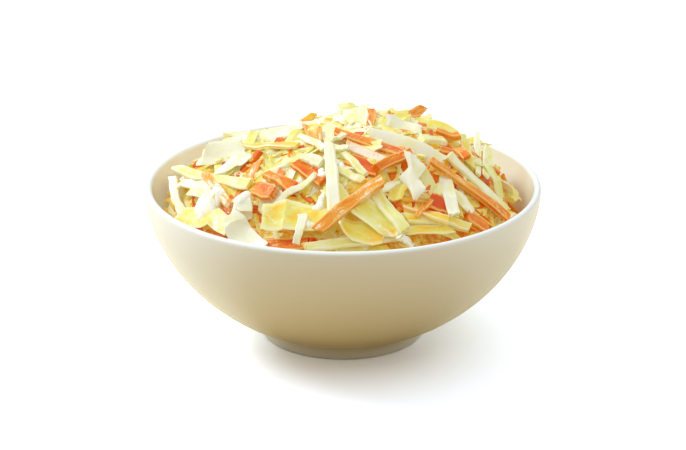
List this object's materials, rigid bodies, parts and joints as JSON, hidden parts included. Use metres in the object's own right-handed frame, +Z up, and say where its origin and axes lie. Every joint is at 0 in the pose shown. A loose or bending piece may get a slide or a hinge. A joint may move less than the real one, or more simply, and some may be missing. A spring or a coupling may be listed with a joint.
{
  "type": "bowl of coleslaw",
  "caption": "Round glazed bowl on a foot ring, heaped with coleslaw of cabbage shreds, leaf pieces and carrot batons in mayonnaise dressing.",
  "frame": {"origin": "centre of the foot ring's underside, on the bowl's axis", "axes": "+Z up along the bowl's axis, -Y towards the side that the heap's long shreds face"},
  "size_m": [0.15, 0.15, 0.0872],
  "materials": {
    "bowl_glaze": "white porcelain with a clear gloss glaze",
    "coleslaw": "moist shredded cabbage and carrot in mayonnaise dressing"
  },
  "bodies": {
    "root": {"bowl": "bowl_glaze", "coleslaw": "coleslaw"}
  },
  "joints": []
}
